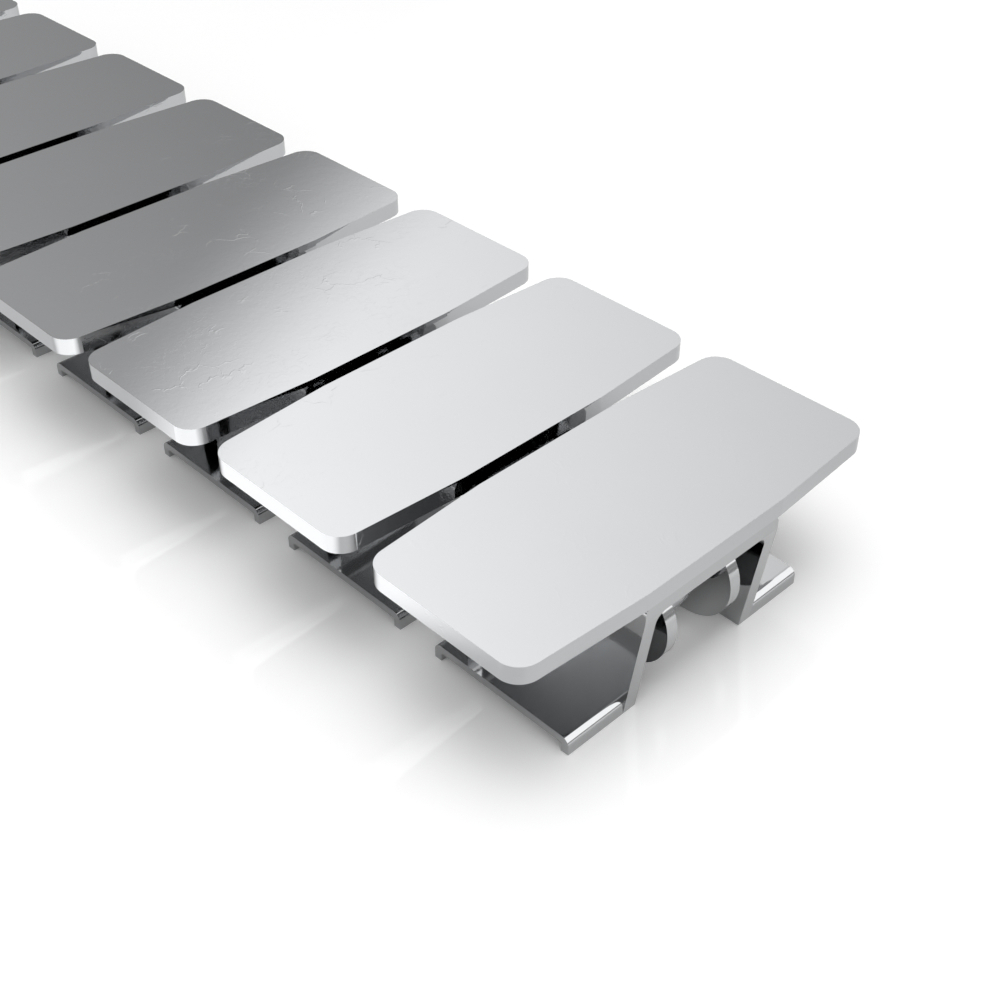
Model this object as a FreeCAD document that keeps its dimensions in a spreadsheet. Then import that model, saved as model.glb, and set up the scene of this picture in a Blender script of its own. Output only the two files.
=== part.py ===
import FreeCAD, Part
import math
import os
import Sketcher

# Side-flexing slat top chain with hold-down tabs, in millimetres.
# The chain runs along X with its leading link at +X. +Z is up, and the left side is at +Y.
# The origin lies under the middle of the chain, on the surface that the tabs stand on.
# Inside a link, X counts back from the front edge of its slat and Z up from that surface.

# Driving sizes
SIZES = {
    "link_count": 8,
    "pitch": 38.1,
    "chain_height": 27.0,
    # flat top plate with rounded corners, pulled back a little towards its ends
    "slat_gap": 2.9,
    "slat_width": 80.8,
    "slat_thickness": 3.3,
    "slat_straight": 31.2,
    "slat_setback": 1.6,
    "slat_corner": 4.0,
    # formed tab bracket: web, two legs and two tabs with lips turned down
    "strip_thickness": 2.75,
    "web_recess": 0.25,
    "bracket_width": 31.15,
    "outer_bend": 1.5,
    "inner_bend": 2.0,
    "tab_span": 55.65,
    "tab_rise": 3.15,
    "tab_thickness": 1.45,
    "tab_front_recess": 3.2,
    "tab_rear_recess": 2.4,
    "lip_thickness": 1.5,
    "lip_bend": 1.45,
    "lip_inner_bend": 0.4,
    # hinge line and the two side plates whose round eyes carry the pin
    "hinge_setback": 9.9,
    "hinge_drop": 14.75,
    "eye_gap": 12.75,
    "side_plate_thickness": 2.35,
    "side_plate_tail": 9.0,
    "side_plate_end_gap": 2.2,
    "side_plate_corner": 1.5,
    # rear tongue with its bored knuckle
    "knuckle_clearance": 1.4,
    "knuckle_side_clearance": 1.05,
    "knuckle_chamfer": 0.6,
    "neck_rise": 6.0,
    "root_length": 11.5,
    "root_drop": 3.2,
    # pin, and the crowned bush that lets the chain bend sideways
    "pin_radius": 2.97,
    "pin_fit": 0.02,
    "pin_head_radius": 3.9,
    "pin_head_thickness": 1.2,
    "pin_peen_radius": 3.4,
    "pin_peen_thickness": 0.7,
    "bush_radius": 4.0,
    "bush_width": 5.3,
    "bush_crown": 18.0,
    "bush_pin_clearance": 0.05,
    "bush_bore_clearance": 0.09,
}

# Sizes worked out from the driving ones, as expressions over the sheet
SLAT_LENGTH = "(size.pitch - size.slat_gap)"
WEB_TOP = "(size.chain_height - size.slat_thickness)"
WEB_UNDERSIDE = f"({WEB_TOP} - size.strip_thickness)"
WEB_FRONT = "(-size.web_recess)"
WEB_REAR = f"(size.web_recess - {SLAT_LENGTH})"
TAB_FRONT = "(-size.tab_front_recess)"
TAB_REAR = f"(size.tab_rear_recess - {SLAT_LENGTH})"
HINGE_X = "(-size.hinge_setback)"
HINGE_Z = "(size.chain_height - size.hinge_drop)"
REAR_HINGE_X = "(-size.hinge_setback - size.pitch)"
EYE_RADIUS = f"({WEB_UNDERSIDE} - {HINGE_Z})"
EYE_OUTSIDE = "(size.eye_gap / 2 + size.side_plate_thickness)"
SIDE_PLATE_REAR = f"(size.side_plate_end_gap - {SLAT_LENGTH})"
KNUCKLE_RADIUS = f"({EYE_RADIUS} - size.knuckle_clearance)"
KNUCKLE_WIDTH = "(size.eye_gap - 2 * size.knuckle_side_clearance)"
ROOT_FRONT = f"({SIDE_PLATE_REAR} + size.root_length)"
ROOT_BOTTOM = f"({HINGE_Z} - size.root_drop)"
CHAIN_LENGTH = f"(size.hinge_setback + size.link_count * size.pitch + {KNUCKLE_RADIUS})"

doc = FreeCAD.newDocument("slat_top_chain")
sheet = doc.addObject("Spreadsheet::Sheet", "size")
for row, (alias, amount) in enumerate(SIZES.items(), start=1):
    sheet.set(f"A{row}", alias)
    sheet.set(f"B{row}", str(amount))
    sheet.setAlias(f"B{row}", alias)
doc.recompute()

sub_parts = []


def value(expression):
    """The present amount of an expression over the sheet."""
    return float(sub_parts[0].evalExpression(expression))


def new_sub_part(label, link):
    """A body in its link's place along the chain."""
    body = doc.addObject("PartDesign::Body", label)
    body.Label = label
    body.setExpression("Placement.Base.x", f"{CHAIN_LENGTH} / 2 - {link - 1} * size.pitch")
    sub_parts.append(body)
    return body


def new_sketch(body, plane, name):
    """A sketch on one of the body's own origin planes."""
    sketch = body.newObject("Sketcher::SketchObject", name)
    planes = [item for item in body.Origin.OriginFeatures if item.Role == plane]
    sketch.AttachmentSupport = [(planes[0], "")]
    sketch.MapMode = "FlatFace"
    return sketch


def bind(sketch, constraint, expression):
    """Add a dimension that follows the sheet."""
    index = sketch.addConstraint(constraint)
    sketch.setExpression(f"Constraints[{index}]", expression)


def place_point(sketch, item, point, across, up):
    """Hold a point of a sketch item at two expressions from the sketch's origin."""
    bind(sketch, Sketcher.Constraint("DistanceX", -1, 1, item, point, value(across)), across)
    bind(sketch, Sketcher.Constraint("DistanceY", -1, 1, item, point, value(up)), up)


def arc_between(start, end, radius):
    """The short arc that turns anticlockwise from one point to another."""
    chord = end - start
    to_centre = FreeCAD.Vector(-chord.y, chord.x, 0).normalize()
    middle = (start + end) * 0.5 + to_centre * (math.sqrt(radius ** 2 - chord.Length ** 2 / 4) - radius)
    return Part.Arc(start, middle, end)


def outline(body, plane, name, corners, arcs=None):
    """A closed outline through corners given as pairs of expressions.

    Runs are straight, but for those that leave a corner numbered in arcs, which gives their radius.
    """
    arcs = arcs or {}
    sketch = new_sketch(body, plane, name)
    points = [FreeCAD.Vector(value(across), value(up), 0) for across, up in corners]
    for index, (start, end) in enumerate(zip(points, points[1:] + points[:1])):
        run = arc_between(start, end, value(arcs[index])) if index in arcs else Part.LineSegment(start, end)
        sketch.addGeometry(run, False)
    for index in range(len(corners)):
        following = (index + 1) % len(corners)
        sketch.addConstraint(Sketcher.Constraint("Coincident", index, 2, following, 1))
    for index, (across, up) in enumerate(corners):
        place_point(sketch, index, 1, across, up)
    for index, radius in arcs.items():
        bind(sketch, Sketcher.Constraint("Radius", index, value(radius)), radius)
    return sketch


def disc(body, plane, name, across, up, radius):
    """A circle about a point given as expressions."""
    sketch = new_sketch(body, plane, name)
    centre = FreeCAD.Vector(value(across), value(up), 0)
    sketch.addGeometry(Part.Circle(centre, FreeCAD.Vector(0, 0, 1), value(radius)), False)
    place_point(sketch, 0, 3, across, up)
    bind(sketch, Sketcher.Constraint("Radius", 0, value(radius)), radius)
    return sketch


def offset_sketch(sketch, expression):
    """Lift a sketch off its plane along the plane's normal."""
    sketch.setExpression("AttachmentOffset.Base.z", expression)
    return sketch


def extrude(body, kind, sketch, name, length, side="Symmetric"):
    """A pad or a pocket of a sketch, which has to add to the body or take from it."""
    before = body.Tip.Shape.Volume if body.Tip else 0.0
    feature = body.newObject(f"PartDesign::{kind}", name)
    feature.Profile = sketch
    feature.SideType = side
    feature.setExpression("Length", length)
    doc.recompute()
    added = feature.Shape.Volume - before
    if (added > -0.01) if kind == "Pocket" else (added < 0.01):
        raise RuntimeError(f"{name} of {body.Label} changed the volume by {added:.3f}")


def along(axis, edge):
    """True for a straight edge that runs along one axis."""
    box = edge.BoundBox
    spans = {"x": box.XLength, "y": box.YLength, "z": box.ZLength}
    length = spans.pop(axis)
    return length > 0.01 and max(spans.values()) < 0.001


def near(amount, expression):
    """True where a coordinate has the value of an expression."""
    return abs(amount - value(expression)) < 0.01


def soften(body, kind, name, radius, wanted):
    """Fillet or chamfer the edges of the body's last feature that pass a test."""
    base = body.Tip
    names = [f"Edge{number}" for number, edge in enumerate(base.Shape.Edges, start=1) if wanted(edge)]
    feature = body.newObject(f"PartDesign::{kind}", name)
    feature.Base = (base, names)
    feature.setExpression("Radius" if kind == "Fillet" else "Size", radius)
    doc.recompute()
    return feature


def make_top_plate(link):
    """Flat slat: straight in the middle, set back towards its ends, with rounded corners."""
    body = new_sub_part(f"top_plate_{link}", link)
    half_straight = "size.slat_straight / 2"
    half_width = "size.slat_width / 2"
    front_end = "-size.slat_setback"
    rear_end = f"size.slat_setback - {SLAT_LENGTH}"
    corners = [
        ("0", f"-{half_straight}"), ("0", half_straight),
        (front_end, half_width), (rear_end, half_width),
        (f"-{SLAT_LENGTH}", half_straight), (f"-{SLAT_LENGTH}", f"-{half_straight}"),
        (rear_end, f"-{half_width}"), (front_end, f"-{half_width}"),
    ]
    sketch = offset_sketch(outline(body, "XY_Plane", "slat_outline", corners), WEB_TOP)
    extrude(body, "Pad", sketch, "slat", "size.slat_thickness", "One side")
    soften(body, "Fillet", "slat_corners", "size.slat_corner",
           lambda edge: along("z", edge) and near(abs(edge.BoundBox.Center.y), half_width))


def make_tab_bracket(link):
    """Formed strip: web under the slat, two legs, and two tabs with lips at both ends."""
    body = new_sub_part(f"tab_bracket_{link}", link)
    underside = "(size.tab_rise - size.tab_thickness)"
    front_lip_inside = f"({TAB_FRONT} - size.lip_thickness)"
    rear_lip_inside = f"({TAB_REAR} + size.lip_thickness)"
    tab_corners = [
        (TAB_FRONT, "0"), (TAB_FRONT, "size.tab_rise"), (TAB_REAR, "size.tab_rise"), (TAB_REAR, "0"),
        (rear_lip_inside, "0"), (rear_lip_inside, underside),
        (front_lip_inside, underside), (front_lip_inside, "0"),
    ]
    extrude(body, "Pad", outline(body, "XZ_Plane", "tab_outline", tab_corners), "tabs", "size.tab_span")
    soften(body, "Fillet", "lip_bends", "size.lip_bend",
           lambda edge: along("y", edge) and near(edge.BoundBox.Center.z, "size.tab_rise"))
    soften(body, "Fillet", "lip_inner_bends", "size.lip_inner_bend",
           lambda edge: along("y", edge) and near(edge.BoundBox.Center.z, underside))
    leg_corners = [
        (WEB_FRONT, WEB_TOP), (WEB_FRONT, WEB_UNDERSIDE), (TAB_FRONT, "0"), (TAB_REAR, "0"),
        (WEB_REAR, WEB_UNDERSIDE), (WEB_REAR, WEB_TOP),
    ]
    extrude(body, "Pad", outline(body, "XZ_Plane", "leg_outline", leg_corners), "legs", "size.bracket_width")
    half_inside = "(size.bracket_width / 2 - size.strip_thickness)"
    channel_corners = [
        (f"-{half_inside}", "0"), (half_inside, "0"),
        (half_inside, WEB_UNDERSIDE), (f"-{half_inside}", WEB_UNDERSIDE),
    ]
    extrude(body, "Pocket", outline(body, "YZ_Plane", "channel_outline", channel_corners),
            "channel", "2 * size.pitch")
    half_width = "(size.bracket_width / 2)"
    soften(body, "Fillet", "outer_bends", "size.outer_bend",
           lambda edge: along("x", edge) and near(abs(edge.BoundBox.Center.y), half_width)
           and near(edge.BoundBox.Center.z, WEB_TOP))
    soften(body, "Fillet", "inner_bends", "size.inner_bend",
           lambda edge: along("x", edge) and near(abs(edge.BoundBox.Center.y), half_inside)
           and near(edge.BoundBox.Center.z, WEB_UNDERSIDE))


def make_side_plate(link, side):
    """Hinge side plate: a round front eye that hangs under the web, and a tail beside the tongue."""
    body = new_sub_part(f"{side}_side_plate_{link}", link)
    lift = f"-{EYE_OUTSIDE}" if side == "left" else "size.eye_gap / 2"
    eye = disc(body, "XZ_Plane", "eye_outline", HINGE_X, HINGE_Z, EYE_RADIUS)
    extrude(body, "Pad", offset_sketch(eye, lift), "eye", "size.side_plate_thickness", "One side")
    tail_bottom = f"({WEB_UNDERSIDE} - size.side_plate_tail)"
    tail_corners = [
        (HINGE_X, WEB_UNDERSIDE), (SIDE_PLATE_REAR, WEB_UNDERSIDE), (SIDE_PLATE_REAR, tail_bottom),
        (ROOT_FRONT, tail_bottom), (f"({HINGE_X} - size.pin_radius)", f"({HINGE_Z} - {EYE_RADIUS})"),
        (HINGE_X, f"({HINGE_Z} - {EYE_RADIUS})"),
    ]
    tail = outline(body, "XZ_Plane", "tail_outline", tail_corners)
    extrude(body, "Pad", offset_sketch(tail, lift), "tail", "size.side_plate_thickness", "One side")
    bore = disc(body, "XZ_Plane", "bore_outline", HINGE_X, HINGE_Z, "size.pin_radius + size.pin_fit")
    extrude(body, "Pocket", bore, "pin_bore", "2 * size.slat_width")
    soften(body, "Fillet", "tail_corners", "size.side_plate_corner",
           lambda edge: along("y", edge) and near(edge.BoundBox.Center.x, SIDE_PLATE_REAR)
           and near(edge.BoundBox.Center.z, tail_bottom))


def make_rear_tongue(link):
    """Tongue between the side plates' tails, with a neck and a bored knuckle behind the slat."""
    body = new_sub_part(f"rear_tongue_{link}", link)
    knuckle = disc(body, "XZ_Plane", "knuckle_outline", REAR_HINGE_X, HINGE_Z, KNUCKLE_RADIUS)
    extrude(body, "Pad", knuckle, "knuckle", KNUCKLE_WIDTH)
    neck_corners = [
        (REAR_HINGE_X, f"({HINGE_Z} + size.neck_rise)"), (ROOT_FRONT, f"({HINGE_Z} + size.neck_rise)"),
        (ROOT_FRONT, ROOT_BOTTOM), (SIDE_PLATE_REAR, ROOT_BOTTOM),
        (REAR_HINGE_X, f"({HINGE_Z} - {KNUCKLE_RADIUS})"),
    ]
    extrude(body, "Pad", outline(body, "XZ_Plane", "neck_outline", neck_corners), "neck", KNUCKLE_WIDTH)
    root_corners = [
        (SIDE_PLATE_REAR, WEB_UNDERSIDE), (ROOT_FRONT, WEB_UNDERSIDE),
        (ROOT_FRONT, ROOT_BOTTOM), (SIDE_PLATE_REAR, ROOT_BOTTOM),
    ]
    extrude(body, "Pad", outline(body, "XZ_Plane", "root_outline", root_corners), "root", "size.eye_gap")
    bore_radius = "size.bush_radius + size.bush_bore_clearance"
    bore = disc(body, "XZ_Plane", "bush_bore_outline", REAR_HINGE_X, HINGE_Z, bore_radius)
    extrude(body, "Pocket", bore, "bush_bore", "2 * size.slat_width")
    soften(body, "Chamfer", "bore_mouths", "size.knuckle_chamfer",
           lambda edge: len(edge.Vertexes) == 1 and near(edge.BoundBox.Center.x, REAR_HINGE_X))


def revolve(body, sketch, name):
    """A full turn about the sketch's upright axis."""
    feature = body.newObject("PartDesign::Revolution", name)
    feature.Profile = sketch
    feature.ReferenceAxis = (sketch, ["V_Axis"])
    feature.Angle = 360
    doc.recompute()


def on_hinge_line(sketch):
    """Move a sketch's origin to the middle of the hinge line at the front of its link."""
    sketch.setExpression("AttachmentOffset.Base.x", HINGE_X)
    sketch.setExpression("AttachmentOffset.Base.z", HINGE_Z)
    return sketch


def make_hinge_pin(link):
    """Pin across both eyes, with a head on the right and a peened end on the left."""
    body = new_sub_part(f"hinge_pin_{link}", link)
    head_end = f"(-{EYE_OUTSIDE} - size.pin_head_thickness)"
    peen_end = f"({EYE_OUTSIDE} + size.pin_peen_thickness)"
    corners = [
        ("0", head_end), ("size.pin_head_radius", head_end), ("size.pin_head_radius", f"-{EYE_OUTSIDE}"),
        ("size.pin_radius", f"-{EYE_OUTSIDE}"), ("size.pin_radius", EYE_OUTSIDE),
        ("size.pin_peen_radius", EYE_OUTSIDE), ("size.pin_radius", peen_end), ("0", peen_end),
    ]
    revolve(body, on_hinge_line(outline(body, "XY_Plane", "pin_outline", corners)), "pin")


def make_crowned_bush(link):
    """Bush on the pin's middle, with a crowned outside that the knuckle can swivel on."""
    body = new_sub_part(f"crowned_bush_{link}", link)
    inside = "(size.pin_radius + size.bush_pin_clearance)"
    half = "(size.bush_width / 2)"
    edge = f"(size.bush_radius - size.bush_crown + sqrt(size.bush_crown ^ 2 - {half} ^ 2))"
    corners = [(inside, f"-{half}"), (edge, f"-{half}"), (edge, half), (inside, half)]
    sketch = outline(body, "XY_Plane", "bush_outline", corners, {1: "size.bush_crown"})
    revolve(body, on_hinge_line(sketch), "bush")


def check_and_export():
    """Stop on any failed object, then write one file for each sub-part."""
    doc.recompute()
    for item in doc.Objects:
        if "Invalid" in item.State or "Error" in item.State:
            raise RuntimeError(f"{item.Label} did not build: {item.State}")
    for body in sub_parts:
        if body.Shape.isNull() or not body.Shape.isValid():
            raise RuntimeError(f"{body.Label} is not a valid shape")
        if len(body.Shape.Solids) != 1:
            raise RuntimeError(f"{body.Label} is not one solid")
    os.makedirs("parts", exist_ok=True)
    for body in sub_parts:
        body.Shape.exportStep(f"parts/{body.Label}.step")


for link in range(1, SIZES["link_count"] + 1):
    make_top_plate(link)
    make_tab_bracket(link)
    make_side_plate(link, "left")
    make_side_plate(link, "right")
    make_rear_tongue(link)
    make_hinge_pin(link)
    make_crowned_bush(link)
check_and_export()
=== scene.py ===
import math

import bmesh
import bpy
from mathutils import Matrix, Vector


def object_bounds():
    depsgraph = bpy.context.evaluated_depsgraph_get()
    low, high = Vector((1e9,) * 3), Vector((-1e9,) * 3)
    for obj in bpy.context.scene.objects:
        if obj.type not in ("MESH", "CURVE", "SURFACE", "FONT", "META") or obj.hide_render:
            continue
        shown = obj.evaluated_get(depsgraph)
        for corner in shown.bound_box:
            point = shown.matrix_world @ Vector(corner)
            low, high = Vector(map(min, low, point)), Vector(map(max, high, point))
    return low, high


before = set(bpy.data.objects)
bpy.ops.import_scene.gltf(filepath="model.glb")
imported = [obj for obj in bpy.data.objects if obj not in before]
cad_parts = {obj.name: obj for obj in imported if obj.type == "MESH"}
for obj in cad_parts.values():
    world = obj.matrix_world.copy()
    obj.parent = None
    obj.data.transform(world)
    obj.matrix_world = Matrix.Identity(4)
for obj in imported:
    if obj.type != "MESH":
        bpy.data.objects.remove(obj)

CAD_BOX = [list(corner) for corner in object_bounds()]
MM = 0.001

scene = bpy.context.scene


# Node helpers

def add(tree, kind, inputs=None, **settings):
    """A node with its settings and with its input values or links."""
    made = tree.nodes.new(kind)
    for name, setting in settings.items():
        setattr(made, name, setting)
    for name, given in (inputs or {}).items():
        if isinstance(given, bpy.types.NodeSocket):
            tree.links.new(given, made.inputs[name])
        else:
            made.inputs[name].default_value = given
    return made


def math_node(tree, operation, *values):
    """The result of a sum on numbers or links."""
    return add(tree, "ShaderNodeMath", dict(enumerate(values)), operation=operation).outputs[0]


def vector_node(tree, operation, *values, output="Vector"):
    """The result of a sum on vectors. The result of a length is the output Value."""
    return add(tree, "ShaderNodeVectorMath", dict(enumerate(values)), operation=operation).outputs[output]


def remap(tree, number, low, high, to_low, to_high, smooth=False):
    """A number carried from one range to another and held at its ends."""
    inputs = {"Value": number, "From Min": low, "From Max": high, "To Min": to_low, "To Max": to_high}
    kind = "SMOOTHSTEP" if smooth else "LINEAR"
    return add(tree, "ShaderNodeMapRange", inputs, interpolation_type=kind).outputs["Result"]


def mix_number(tree, share, first, second):
    """Share 0 gives the first number and share 1 the second."""
    return add(tree, "ShaderNodeMix", {0: share, 2: first, 3: second}, data_type="FLOAT").outputs[0]


def noise(tree, place, scale, detail=2.0, roughness=0.5, distortion=0.0):
    """Cloudy noise from 0 to 1, with its middle at 0.5."""
    inputs = {"Vector": place, "Scale": scale, "Detail": detail, "Roughness": roughness,
              "Distortion": distortion}
    return add(tree, "ShaderNodeTexNoise", inputs).outputs["Fac"]


def stretched(tree, place, factors, shift=(0.0, 0.0, 0.0)):
    """Texture coordinates scaled along each axis and moved."""
    return add(tree, "ShaderNodeMapping", {"Vector": place, "Scale": factors, "Location": shift}).outputs[0]


def new_material(name):
    """A material with an empty node tree, and that tree."""
    material = bpy.data.materials.new(name)
    material.use_nodes = True
    material.node_tree.nodes.clear()
    return material, material.node_tree


# Polished steel

# Texture scales count per metre. Patches are (scale, noise where they start, noise where they are full)
CLOUD_SCALE = 35
CLOUD_SHADE = 0.96
WANDER_SCALE = 210.0
WANDER_SIZE = (0.007, 0.007, 0.007)
CELL_SCALE = 140.0
CELL_LINE = 0.022
CELL_PATCHES = (105, 0.54, 0.62)
CREASE_SCALE = 330
CREASE_LINE = 0.014
CREASE_PATCHES = (60, 0.44, 0.60)
CREASE_SHARE = 0.35
WAVE_SCALE = 420
RIPPLE_SCALE = 1500

CRINKLE_HEIGHT = 0.0045 * MM
WAVE_HEIGHT = 0.0032 * MM
RIPPLE_HEIGHT = 0.0012 * MM
LINE_HEIGHT = 0.0004 * MM


def ridges(tree, field, line, place, patches):
    """Thin ridges where a field is near zero, kept in patches."""
    patch_scale, patch_start, patch_full = patches
    crest = remap(tree, field, 0.0, line, 1.0, 0.0, smooth=True)
    patch = noise(tree, place, patch_scale, detail=3)
    kept = remap(tree, patch, patch_start, patch_full, 0.0, 1.0, smooth=True)
    return math_node(tree, "MULTIPLY", crest, kept)


def steel_relief(tree, place, lines, crinkles):
    """The height of the surface: long and short crinkles, waves, ripple and fine lines."""
    wander = add(tree, "ShaderNodeTexNoise", {"Vector": place, "Scale": WANDER_SCALE, "Detail": 4.0})
    bend = vector_node(tree, "MULTIPLY", wander.outputs["Color"], WANDER_SIZE)
    bent_place = vector_node(tree, "ADD", place, bend)
    cells = add(tree, "ShaderNodeTexVoronoi", {"Vector": bent_place, "Scale": CELL_SCALE},
                feature="DISTANCE_TO_EDGE").outputs["Distance"]
    swing = math_node(tree, "SUBTRACT", noise(tree, bent_place, CREASE_SCALE), 0.5)
    creases = math_node(tree, "ABSOLUTE", swing)
    relief = (
        (ridges(tree, cells, CELL_LINE, place, CELL_PATCHES), crinkles),
        (ridges(tree, creases, CREASE_LINE, place, CREASE_PATCHES), CREASE_SHARE * crinkles),
        (noise(tree, place, WAVE_SCALE, detail=3, roughness=0.55, distortion=0.4), WAVE_HEIGHT),
        (noise(tree, place, RIPPLE_SCALE), RIPPLE_HEIGHT),
        (lines, LINE_HEIGHT),
    )
    height = 0.0
    for part, size in relief:
        height = math_node(tree, "ADD", height, math_node(tree, "MULTIPLY", part, size))
    return height


def polished_steel(name, tint, gloss, grain, crinkles=0.0, shift=(0, 0, 0)):
    """Bright steel. Gloss is a pair of roughness values, grain the axis scales of the fine lines, and
    crinkles the height of the crinkles. Shift moves the pattern, so that no two steels share it."""
    material, tree = new_material(name)
    place = stretched(tree, add(tree, "ShaderNodeTexCoord").outputs["Object"], (1, 1, 1), shift)
    cloud = noise(tree, place, CLOUD_SCALE, detail=4, roughness=0.55)
    lines = noise(tree, stretched(tree, place, grain), 1, detail=3, roughness=0.6)
    height = steel_relief(tree, place, lines, crinkles)
    bump = add(tree, "ShaderNodeBump", {"Strength": 1.0, "Distance": 1.0, "Height": height})
    dark = tuple(CLOUD_SHADE * part for part in tint) + (1.0,)
    light = tuple(tint) + (1.0,)
    colour = add(tree, "ShaderNodeMix", {0: cloud, 6: dark, 7: light}, data_type="RGBA").outputs[2]
    rough = mix_number(tree, lines, gloss[0], gloss[1])
    surface = add(tree, "ShaderNodeBsdfPrincipled",
                  {"Base Color": colour, "Metallic": 1.0, "Roughness": rough, "Normal": bump.outputs[0]})
    add(tree, "ShaderNodeOutputMaterial", {"Surface": surface.outputs[0]})
    return material


# Rolled plate, with its lines across the chain
slat_steel = polished_steel("slat_steel", tint=(0.551, 0.559, 0.569), gloss=(0.05, 0.08),
                            grain=(900, 120, 900), crinkles=CRINKLE_HEIGHT)

# Formed strip, with its lines along the chain
strip_steel = polished_steel("strip_steel", tint=(0.494, 0.499, 0.505), gloss=(0.04, 0.07),
                             grain=(120, 900, 900), crinkles=0.5 * CRINKLE_HEIGHT, shift=(0.4, 0, 0))

# Stamped plate, with no direction
plate_steel = polished_steel("plate_steel", tint=(0.490, 0.495, 0.500), gloss=(0.06, 0.09),
                             grain=(500, 500, 500), crinkles=0.3 * CRINKLE_HEIGHT, shift=(0, 0.6, 0))

# Drawn wire, with its lines along the pin
pin_steel = polished_steel("pin_steel", tint=(0.494, 0.500, 0.511), gloss=(0.20, 0.28),
                           grain=(1500, 200, 1500), shift=(0, 0, 0.5))

# Turned bar, with its lines round the bush
bush_steel = polished_steel("bush_steel", tint=(0.474, 0.480, 0.491), gloss=(0.22, 0.30),
                            grain=(200, 1500, 200), shift=(0.5, 0, 0.5))


# Steel and broken edges of the CAD pieces

# Each kind of piece has its steel and the width of its broken edges
DRESS = {
    "top_plate": (slat_steel, 0.12 * MM),
    "tab_bracket": (strip_steel, 0.12 * MM),
    "left_side_plate": (plate_steel, 0.15 * MM),
    "right_side_plate": (plate_steel, 0.15 * MM),
    "rear_tongue": (plate_steel, 0.15 * MM),
    "hinge_pin": (pin_steel, 0.10 * MM),
    "crowned_bush": (bush_steel, 0.08 * MM),
}
FLAT_ANGLE = math.radians(0.5)
SHARP_ANGLE = math.radians(35)
EDGE_SEGMENTS = 2


def dress(piece, kind):
    """Give a CAD piece its steel, join its flat faces and break its sharp edges."""
    steel, edge_width = DRESS[kind]
    piece.data.materials.clear()
    piece.data.materials.append(steel)
    flat = piece.modifiers.new("flat_faces", "DECIMATE")
    flat.decimate_type = "DISSOLVE"
    flat.angle_limit = FLAT_ANGLE
    edge = piece.modifiers.new("edges", "BEVEL")
    edge.width = edge_width
    edge.segments = EDGE_SEGMENTS
    edge.limit_method = "ANGLE"
    edge.angle_limit = SHARP_ANGLE
    edge.harden_normals = True


for node_name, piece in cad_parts.items():
    dress(piece, node_name.rsplit("_", 1)[0])


# Floor

FLOOR_REACH = 6.0
FLOOR_DROP = 0.02 * MM
FLOOR_GLOSS = 0.04
FLOOR_IOR = 1.42

# The floor's level where the camera sees it, and where light bounces off it
FLOOR_SEEN = 1.13
FLOOR_BOUNCED = 0.45

# Half the chain's length and width. The third number is far above the floor, so height never counts
CHAIN_HALF = (CAD_BOX[1][0], CAD_BOX[1][1], 1.0)

# The floor's level where the steel mirrors it, with painted light that falls away from the chain and a
# little more in the corner where X and Y are high. A range is (start, end, value at start, value at end)
PAINTED_FALLOFF_BY_DISTANCE = (0.010, 0.190, 0.89, 0.45)
PAINTED_FALLOFF_BY_CORNER = (0.190, 0.235, 1.0, 0.86)

# The pool's middle along X, its half-width and its gain. It fades over its rim, in shares of the half-width
POOL_MIDDLE = 0.084
POOL_HALF_BY_Y = (-0.080, -0.056, 0.086, 0.045)
POOL_GAIN_BY_Y = (-0.056, -0.036, 2.2, 1.0)
POOL_RIM = (0.50, 1.10)

# A painted patch of light under the leading hinge, which brightens the floor's colour for every ray, the
# camera's too. Its lift is a range over the distance in radii
PAINTED_LIGHT_SPOT = (0.147, 0.004, 0.0)
PAINTED_LIGHT_RADII = (0.009, 0.026, 1.0)
PAINTED_LIGHT_LIFT = (0.40, 1.0, 1.7, 1.0)


def sharp_glossy(tree, path):
    """One for a mirrored ray that no matt surface has scattered."""
    unscattered = math_node(tree, "LESS_THAN", path.outputs["Diffuse Depth"], 0.5)
    return math_node(tree, "MULTIPLY", path.outputs["Is Glossy Ray"], unscattered)


def pool_gain(tree, spot):
    """A pool of light on the camera's side of the chain, which narrows and fades towards the chain."""
    aside = math_node(tree, "ABSOLUTE", math_node(tree, "SUBTRACT", spot["X"], POOL_MIDDLE))
    share = math_node(tree, "DIVIDE", aside, remap(tree, spot["Y"], *POOL_HALF_BY_Y))
    gain = remap(tree, spot["Y"], *POOL_GAIN_BY_Y)
    return remap(tree, share, *POOL_RIM, gain, 1.0, smooth=True)


def painted_falloff(tree, place, spot):
    """Painted light on the floor's image in the steel: a level that falls away from the chain, and a little
    more in the corner where X and Y are high.
    """
    reach = vector_node(tree, "ABSOLUTE", place)
    past = vector_node(tree, "MAXIMUM", vector_node(tree, "SUBTRACT", reach, CHAIN_HALF), (0, 0, 0))
    distance = vector_node(tree, "LENGTH", past, output="Value")
    corner = math_node(tree, "ADD", spot["X"], spot["Y"])
    return math_node(tree, "MULTIPLY", remap(tree, distance, *PAINTED_FALLOFF_BY_DISTANCE),
                     remap(tree, corner, *PAINTED_FALLOFF_BY_CORNER))


def painted_hinge_light(tree, place):
    """The gain of the painted patch of light under the leading hinge, and one elsewhere."""
    inner = vector_node(tree, "DIVIDE", vector_node(tree, "SUBTRACT", place, PAINTED_LIGHT_SPOT), PAINTED_LIGHT_RADII)
    distance = vector_node(tree, "LENGTH", inner, output="Value")
    return remap(tree, distance, *PAINTED_LIGHT_LIFT, smooth=True)


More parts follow.
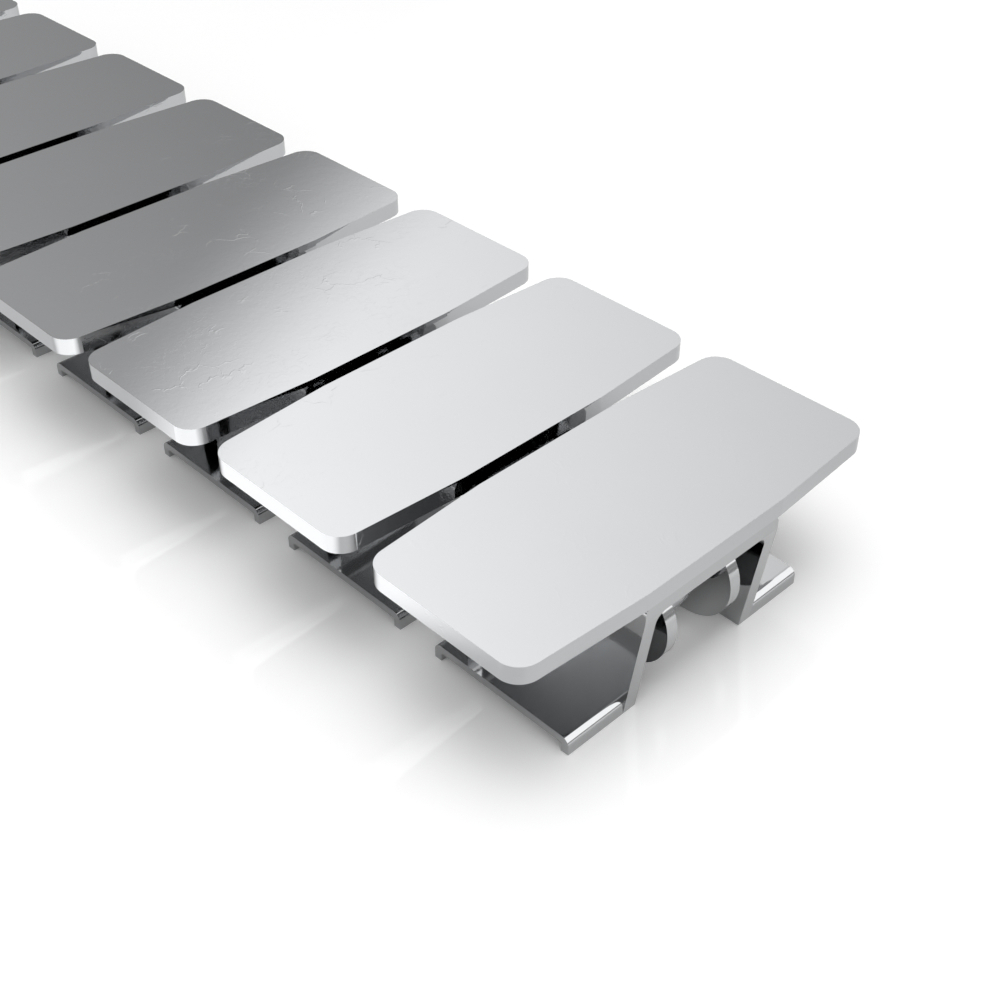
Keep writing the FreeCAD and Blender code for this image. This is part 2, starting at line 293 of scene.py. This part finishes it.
def floor_paint():
    """Pale, slightly glossy paint. Its level depends on the kind of ray that meets it, so the floor is pale
    in the picture and its image in the steel has a level of its own, with a painted pool of light and
    painted light that falls away from the chain. A painted patch of light under the leading hinge brightens
    the floor for every ray."""
    material, tree = new_material("floor_paint")
    path = add(tree, "ShaderNodeLightPath")
    place = add(tree, "ShaderNodeTexCoord").outputs["Object"]
    spot = add(tree, "ShaderNodeSeparateXYZ", {0: place}).outputs
    # Painted light in the floor's image in the steel: a pool of light, and a level that falls away from the
    # chain
    mirrored = math_node(tree, "MULTIPLY", pool_gain(tree, spot), painted_falloff(tree, place, spot))
    level = mix_number(tree, sharp_glossy(tree, path), FLOOR_BOUNCED, mirrored)
    level = mix_number(tree, path.outputs["Is Camera Ray"], level, FLOOR_SEEN)
    # Painted light: the patch under the leading hinge brightens the floor's colour, also where the camera
    # sees it
    level = math_node(tree, "MULTIPLY", level, painted_hinge_light(tree, place))
    colour = add(tree, "ShaderNodeCombineColor", {0: level, 1: level, 2: level}).outputs[0]
    matt = add(tree, "ShaderNodeBsdfDiffuse", {"Color": colour})
    shine = add(tree, "ShaderNodeBsdfGlossy", {"Color": (1, 1, 1, 1), "Roughness": FLOOR_GLOSS})
    facing = add(tree, "ShaderNodeFresnel", {"IOR": FLOOR_IOR}).outputs[0]
    paint = add(tree, "ShaderNodeMixShader", {0: facing, 1: matt.outputs[0], 2: shine.outputs[0]})
    add(tree, "ShaderNodeOutputMaterial", {"Surface": paint.outputs[0]})
    return material


def make_floor():
    """A plain floor just under the chain's tabs, which keeps the chain's shadow."""
    mesh = bpy.data.meshes.new("floor")
    shape = bmesh.new()
    bmesh.ops.create_grid(shape, x_segments=1, y_segments=1, size=FLOOR_REACH)
    bmesh.ops.translate(shape, verts=shape.verts, vec=Vector((0, 0, -FLOOR_DROP)))
    shape.to_mesh(mesh)
    shape.free()
    mesh.materials.append(floor_paint())
    floor = bpy.data.objects.new("floor", mesh)
    scene.collection.objects.link(floor)


make_floor()


# Studio

# Turn and rise are a ray's direction in degrees. Turn counts from +Y towards -X and jumps at SEAM. A band is
# (start, end, softness of its edges), and a range is (start, end, value at start, value at end)
SEAM = -105
SKY_LEVEL = 0.85

# The share of light that the steel mirrors. A tone is what the steel shows, and its light is that over this
STEEL_LEVEL = 0.55

FAR_PANEL_TURN = (15, 100, 6)
FAR_PANEL_RISE = (1, 62, 4)
FAR_PANEL_TONE = dict(level=0.635, at_turn=38, at_rise=32, per_turn=0.0099, per_rise=0.0057,
                      low=0.55, high=0.95)

FRONT_TURN = (-105, 5, 7)
FRONT_SKIRT_RISE = (0, 7, 1)
FRONT_SKIRT_LEVEL = 0.45
FRONT_PANEL_FOOT = (6.0, 8.0, 0.0, 1.0)
FRONT_PANEL_TOP = (57.0, 61.0, 1.0, 0.0)
FRONT_PANEL_SLOPE = 0.22
FRONT_PANEL_LEVEL = 1.85

WALL_EDGE = (16.4, 27.6, 0.0, 1.0)
WALL_EDGE_SLOPE = 1.109
WALL_END = (236.0, 246.0, 1.0, 0.0)
WALL_RISE = (-5, 50, 4)
WALL_TONE = dict(level=0.233, at_turn=58, at_rise=27, per_turn=0.0055, per_rise=0.0055,
                 low=0.15, high=0.29)
WALL_FALL = (90.0, 190.0, 1.0, 0.40)

# The dome gives an open floor one. Its beam narrows with the power, and it leans along X and Y
DOME_LEVEL = 3.196
DOME_POWER = 12.0
DOME_SIDES = 0.17
DOME_LEAN = (0.437, -0.478)

# The level for glossy rays that a matt surface has scattered before
SCATTERED_LEVEL = 0.45


def ray_direction(tree):
    """The parts of a ray's direction along the axes, its turn and its rise."""
    ray = add(tree, "ShaderNodeTexCoord").outputs["Generated"]
    parts = add(tree, "ShaderNodeSeparateXYZ", {0: ray}).outputs
    rise = math_node(tree, "DEGREES", math_node(tree, "ARCSINE", parts["Z"]))
    back = math_node(tree, "MULTIPLY", parts["X"], -1.0)
    turn = math_node(tree, "DEGREES", math_node(tree, "ARCTAN2", back, parts["Y"]))
    wrapped = math_node(tree, "MODULO", math_node(tree, "ADD", turn, 360.0 - SEAM), 360.0)
    return parts, math_node(tree, "ADD", wrapped, SEAM), rise


def band(tree, number, start, end, soft):
    """One between two values, and nothing outside them."""
    rising = remap(tree, number, start - soft, start + soft, 0.0, 1.0, smooth=True)
    falling = remap(tree, number, end - soft, end + soft, 1.0, 0.0, smooth=True)
    return math_node(tree, "MULTIPLY", rising, falling)


def tone(tree, turn, rise, level, at_turn, at_rise, per_turn, per_rise, low, high):
    """A level that is given for one direction and drifts with turn and rise, held between two values."""
    at_zero = level - at_turn * per_turn - at_rise * per_rise
    drift = math_node(tree, "ADD", math_node(tree, "MULTIPLY", turn, per_turn),
                      math_node(tree, "MULTIPLY", rise, per_rise))
    total = math_node(tree, "ADD", drift, at_zero)
    return math_node(tree, "MINIMUM", math_node(tree, "MAXIMUM", total, low), high)


def laid_over(tree, level, turn_share, rise_share, laid):
    """A level with another one laid over it where both shares are one."""
    return mix_number(tree, math_node(tree, "MULTIPLY", turn_share, rise_share), level, laid)


def far_panel(tree, level, turn, rise):
    """A tall soft panel beyond the far right of the picture, brighter with turn and rise."""
    light = math_node(tree, "DIVIDE", tone(tree, turn, rise, **FAR_PANEL_TONE), STEEL_LEVEL)
    across = band(tree, turn, *FAR_PANEL_TURN)
    return laid_over(tree, level, across, band(tree, rise, *FAR_PANEL_RISE), light)


def front_panel(tree, level, turn, rise):
    """A bright panel from beyond the leading link round to +Y, with a sloping top and a grey skirt below."""
    across = band(tree, turn, *FRONT_TURN)
    level = laid_over(tree, level, across, band(tree, rise, *FRONT_SKIRT_RISE), FRONT_SKIRT_LEVEL)
    slope = math_node(tree, "ADD", rise, math_node(tree, "MULTIPLY", turn, FRONT_PANEL_SLOPE))
    upright = math_node(tree, "MULTIPLY", remap(tree, slope, *FRONT_PANEL_TOP, smooth=True),
                        remap(tree, rise, *FRONT_PANEL_FOOT, smooth=True))
    return laid_over(tree, level, across, upright, FRONT_PANEL_LEVEL)


def grey_wall(tree, level, turn, rise):
    """A grey wall from a sloping edge in the far middle, round the left, to behind the camera."""
    across = math_node(tree, "SUBTRACT", turn, math_node(tree, "MULTIPLY", rise, WALL_EDGE_SLOPE))
    extent = math_node(tree, "MULTIPLY", remap(tree, across, *WALL_EDGE, smooth=True),
                       remap(tree, turn, *WALL_END, smooth=True))
    shown = math_node(tree, "MULTIPLY", tone(tree, turn, rise, **WALL_TONE), remap(tree, turn, *WALL_FALL))
    light = math_node(tree, "DIVIDE", shown, STEEL_LEVEL)
    return laid_over(tree, level, extent, band(tree, rise, *WALL_RISE), light)


def dome(tree, parts):
    """The light on matt surfaces, strongest from overhead and from the camera's side."""
    beam = math_node(tree, "POWER", math_node(tree, "MAXIMUM", parts["Z"], 0.0), DOME_POWER)
    side = math_node(tree, "MULTIPLY_ADD", parts["X"], DOME_LEAN[0], 1.0)
    side = math_node(tree, "MULTIPLY_ADD", parts["Y"], DOME_LEAN[1], side)
    glow = math_node(tree, "MULTIPLY", math_node(tree, "ADD", beam, DOME_SIDES), side)
    return math_node(tree, "MULTIPLY", glow, DOME_LEVEL)


def make_studio():
    """A white world for the camera, a dome for matt surfaces, and what the steel mirrors."""
    world = bpy.data.worlds.new("studio")
    world.use_nodes = True
    scene.world = world
    tree = world.node_tree
    tree.nodes.clear()
    parts, turn, rise = ray_direction(tree)
    mirrored = SKY_LEVEL
    for lay in (far_panel, front_panel, grey_wall):
        mirrored = lay(tree, mirrored, turn, rise)
    path = add(tree, "ShaderNodeLightPath")
    plain = mix_number(tree, path.outputs["Is Glossy Ray"], dome(tree, parts), SCATTERED_LEVEL)
    plain = mix_number(tree, path.outputs["Is Camera Ray"], plain, 1.0)
    level = mix_number(tree, sharp_glossy(tree, path), plain, mirrored)
    light = add(tree, "ShaderNodeBackground", {"Color": (1, 1, 1, 1), "Strength": level})
    add(tree, "ShaderNodeOutputWorld", {"Surface": light.outputs[0]})


make_studio()


# Camera

# The focal length is given as a share of the picture's width
SENSOR_WIDTH = 36.0
FOCAL_SHARE = 1.48308
CAMERA_PLACE = (0.258239, -0.140052, 0.168685)
CAMERA_AIM = (-0.56008, 0.54617, -0.62291)
NEAREST_SEEN = 0.01
FARTHEST_SEEN = 50.0


def make_camera():
    """The camera at the photograph's place and viewing angle, kept level."""
    data = bpy.data.cameras.new("camera")
    data.sensor_width = SENSOR_WIDTH
    data.lens = SENSOR_WIDTH * FOCAL_SHARE
    data.clip_start = NEAREST_SEEN
    data.clip_end = FARTHEST_SEEN
    camera = bpy.data.objects.new("camera", data)
    camera.location = CAMERA_PLACE
    camera.rotation_mode = "QUATERNION"
    camera.rotation_quaternion = Vector(CAMERA_AIM).to_track_quat("-Z", "Y")
    scene.collection.objects.link(camera)
    scene.camera = camera


make_camera()

scene.view_settings.view_transform = "Standard"
